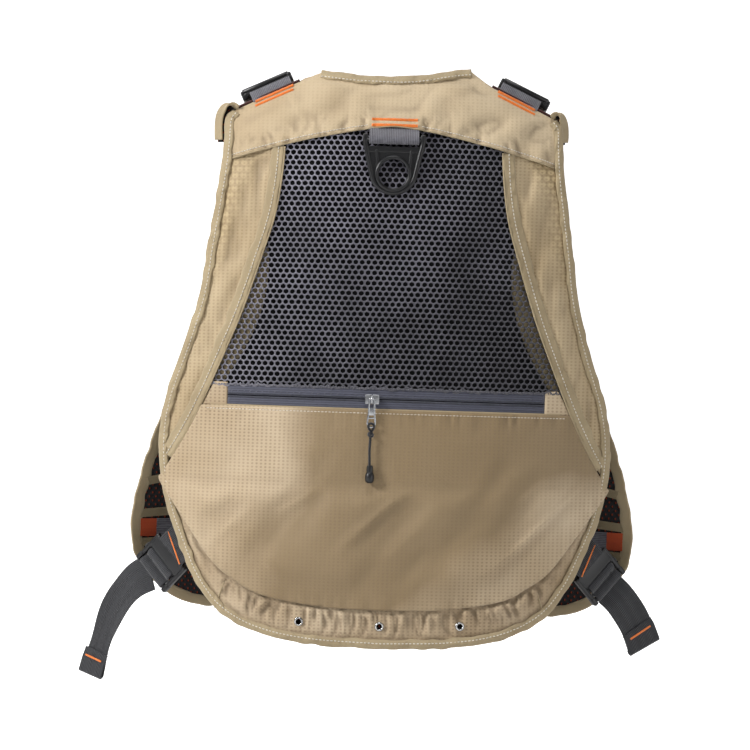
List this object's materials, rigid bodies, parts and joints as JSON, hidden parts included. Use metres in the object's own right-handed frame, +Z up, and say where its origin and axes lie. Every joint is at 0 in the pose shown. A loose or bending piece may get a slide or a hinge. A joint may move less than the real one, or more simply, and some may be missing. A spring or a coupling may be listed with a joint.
{
  "type": "fishing vest",
  "caption": "Khaki fishing vest with a mesh back, zipped back pocket, net ring, padded shoulders, side ladder-lock straps and swinging front panels with zipped pockets.",
  "frame": {"origin": "centre of the hole in the net ring, in the middle of the upper back", "axes": "+X to the wearer's left, +Y out of the back (the wearer faces -Y), +Z up"},
  "size_m": [0.5964, 0.2533, 0.6308],
  "materials": {
    "khaki": "matt woven",
    "lining": "air mesh",
    "mesh": "open net",
    "zip_cloth": "woven tape",
    "orange_thread": "satin stitch",
    "nickel": "polished",
    "steel": "polished",
    "black_plastic": "satin",
    "cord": "braided",
    "webbing": "ribbed"
  },
  "bodies": {
    "back": {"back_lining": "lining", "back_yoke": "khaki", "back_mesh": "mesh", "side_panel_left": "khaki", "side_panel_right": "khaki", "pocket_wall": "khaki", "hem_band": "khaki", "hem_gussets": "khaki", "pocket_panel": "khaki", "zip_tape_upper": "zip_cloth", "zip_tape_lower": "zip_cloth", "zip_coils": "zip_cloth", "zip_garages": "khaki", "back_binding": "khaki", "mesh_tapes": "khaki", "neck_binding": "khaki", "net_loop": "webbing", "hem_eyelets": "nickel", "bartacks": "orange_thread", "shoulder_cap_left": "khaki", "shoulder_cap_right": "khaki", "shoulder_loop_left": "webbing", "shoulder_loop_right": "webbing", "side_loop_left": "webbing", "side_loop_right": "webbing"},
    "net_ring": {"net_ring": "black_plastic"},
    "zip_slider": {"zip_slider": "black_plastic"},
    "zip_pull": {"zip_pull": "steel"},
    "cord": {"pull_cord": "cord", "cord_end": "black_plastic"},
    "shoulder_buckle_left": {"shoulder_buckle_left": "black_plastic"},
    "shoulder_buckle_right": {"shoulder_buckle_right": "black_plastic"},
    "side_buckle_left": {"side_buckle_left": "black_plastic"},
    "side_buckle_right": {"side_buckle_right": "black_plastic"},
    "side_tail_left": {"side_tail_left": "webbing"},
    "side_tail_right": {"side_tail_right": "webbing"},
    "front_left": {"front_lining_left": "lining", "front_shell_left": "khaki", "front_binding_left": "khaki", "shoulder_strap_left": "khaki", "shoulder_web_left": "webbing", "side_strap_left": "webbing", "chest_pocket_left": "khaki", "lower_pocket_left": "khaki", "chest_strap_left": "webbing", "buckle_socket": "black_plastic"},
    "front_right": {"front_lining_right": "lining", "front_shell_right": "khaki", "front_binding_right": "khaki", "shoulder_strap_right": "khaki", "shoulder_web_right": "webbing", "side_strap_right": "webbing", "chest_pocket_right": "khaki", "lower_pocket_right": "khaki", "chest_strap_right": "webbing"},
    "chest_slider_left": {"chest_slider_left": "steel"},
    "chest_slider_right": {"chest_slider_right": "steel"},
    "lower_slider_left": {"lower_slider_left": "steel"},
    "lower_slider_right": {"lower_slider_right": "steel"},
    "buckle_plug": {"buckle_plug": "black_plastic"}
  },
  "joints": [
    {"name": "ring_swing", "type": "hinge", "parent": "back", "child": "net_ring", "pos_m": [0, 0, 0.034], "axis": [1, 0, 0], "range_deg": [0, 100]},
    {"name": "back_zip", "type": "hinge", "parent": "back", "child": "zip_slider", "pos_m": [0, -0.423, -0.226], "axis": [0, 0, 1], "range_deg": [-18.8, 22.6]},
    {"name": "zip_pull_swing", "type": "hinge", "parent": "zip_slider", "child": "zip_pull", "pos_m": [0.01424, 0.00616, -0.226], "axis": [0.9995, -0.0332, 0], "range_deg": [0, 110]},
    {"name": "cord_swing", "type": "hinge", "parent": "zip_pull", "child": "cord", "pos_m": [0.01424, 0.00616, -0.2536], "axis": [0.9995, -0.0332, 0], "range_deg": [0, 70]},
    {"name": "shoulder_buckle_tilt_left", "type": "hinge", "parent": "back", "child": "shoulder_buckle_left", "pos_m": [0.13083, -0.0709, 0.08815], "axis": [-0.9063, 0, 0.4226], "range_deg": [0, 35]},
    {"name": "side_buckle_tilt_left", "type": "hinge", "parent": "back", "child": "side_buckle_left", "pos_m": [0.21531, -0.06552, -0.39043], "axis": [0.6172, -0.3451, 0.7071], "range_deg": [0, 40]},
    {"name": "side_tail_swing_left", "type": "hinge", "parent": "side_buckle_left", "child": "side_tail_left", "pos_m": [0.23259, -0.07518, -0.41023], "axis": [0.6172, -0.3451, 0.7071], "range_deg": [0, 60]},
    {"name": "front_swing_left", "type": "hinge", "parent": "back", "child": "front_left", "pos_m": [0.248, -0.096, -0.41], "axis": [-0.2239, -0.0182, 0.9744], "range_deg": [0, 60]},
    {"name": "chest_zip_left", "type": "hinge", "parent": "front_left", "child": "chest_slider_left", "pos_m": [0, 0.207, -0.108], "axis": [0, 0, 1], "range_deg": [0, 7.4]},
    {"name": "lower_zip_left", "type": "hinge", "parent": "front_left", "child": "lower_slider_left", "pos_m": [0, 0.207, -0.268], "axis": [0, 0, 1], "range_deg": [0, 14.2]},
    {"name": "shoulder_buckle_tilt_right", "type": "hinge", "parent": "back", "child": "shoulder_buckle_right", "pos_m": [-0.13083, -0.0709, 0.08815], "axis": [-0.9063, 0, -0.4226], "range_deg": [0, 35]},
    {"name": "side_buckle_tilt_right", "type": "hinge", "parent": "back", "child": "side_buckle_right", "pos_m": [-0.21531, -0.06552, -0.39043], "axis": [0.6172, 0.3451, -0.7071], "range_deg": [0, 40]},
    {"name": "side_tail_swing_right", "type": "hinge", "parent": "side_buckle_right", "child": "side_tail_right", "pos_m": [-0.23259, -0.07518, -0.41023], "axis": [0.6172, 0.3451, -0.7071], "range_deg": [0, 60]},
    {"name": "front_swing_right", "type": "hinge", "parent": "back", "child": "front_right", "pos_m": [-0.248, -0.096, -0.41], "axis": [-0.2239, 0.0182, -0.9744], "range_deg": [0, 60]},
    {"name": "chest_zip_right", "type": "hinge", "parent": "front_right", "child": "chest_slider_right", "pos_m": [0, 0.207, -0.108], "axis": [0, 0, -1], "range_deg": [0, 7.4]},
    {"name": "lower_zip_right", "type": "hinge", "parent": "front_right", "child": "lower_slider_right", "pos_m": [0, 0.207, -0.268], "axis": [0, 0, -1], "range_deg": [0, 14.2]},
    {"name": "buckle_slide", "type": "slide", "parent": "front_right", "child": "buckle_plug", "axis": [1, 0, 0], "range_m": [0, 0.0095]}
  ]
}
